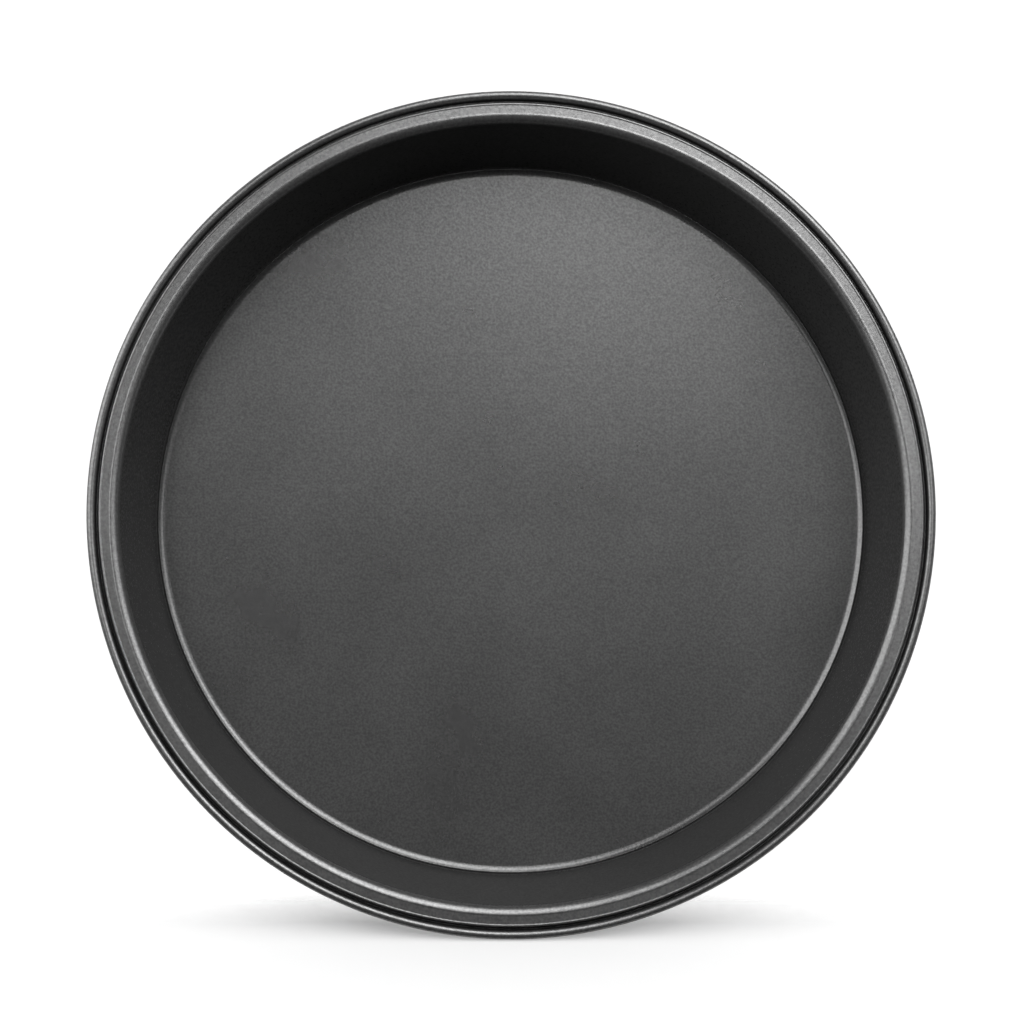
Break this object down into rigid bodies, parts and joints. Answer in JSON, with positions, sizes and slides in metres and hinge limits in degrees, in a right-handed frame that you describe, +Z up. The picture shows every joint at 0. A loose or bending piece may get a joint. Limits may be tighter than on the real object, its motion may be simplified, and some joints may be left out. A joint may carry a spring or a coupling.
{
  "type": "round cake pan",
  "caption": "Round tapered cake pan with a flat rim, a deep groove, a rolled bead and a loose base plate that rests on an inner lip and lifts out.",
  "frame": {"origin": "centre of the foot, on the surface that the pan lies on", "axes": "+Z up along the pan's axis, out of its mouth; X and Y are any two directions across the round pan"},
  "size_m": [0.248, 0.248, 0.038],
  "materials": {
    "ring_coating": "dark grey non-stick coating, satin",
    "base_coating": "dark grey non-stick coating, fine satin speckle",
    "wire_steel": "plain drawn steel"
  },
  "bodies": {
    "ring": {"pan_ring": "ring_coating", "rim_wire": "wire_steel"},
    "base": {"base_plate": "base_coating"}
  },
  "joints": [
    {"name": "base_lift", "type": "slide", "parent": "ring", "child": "base", "axis": [0, 0, 1], "range_m": [0, 0.06]}
  ]
}
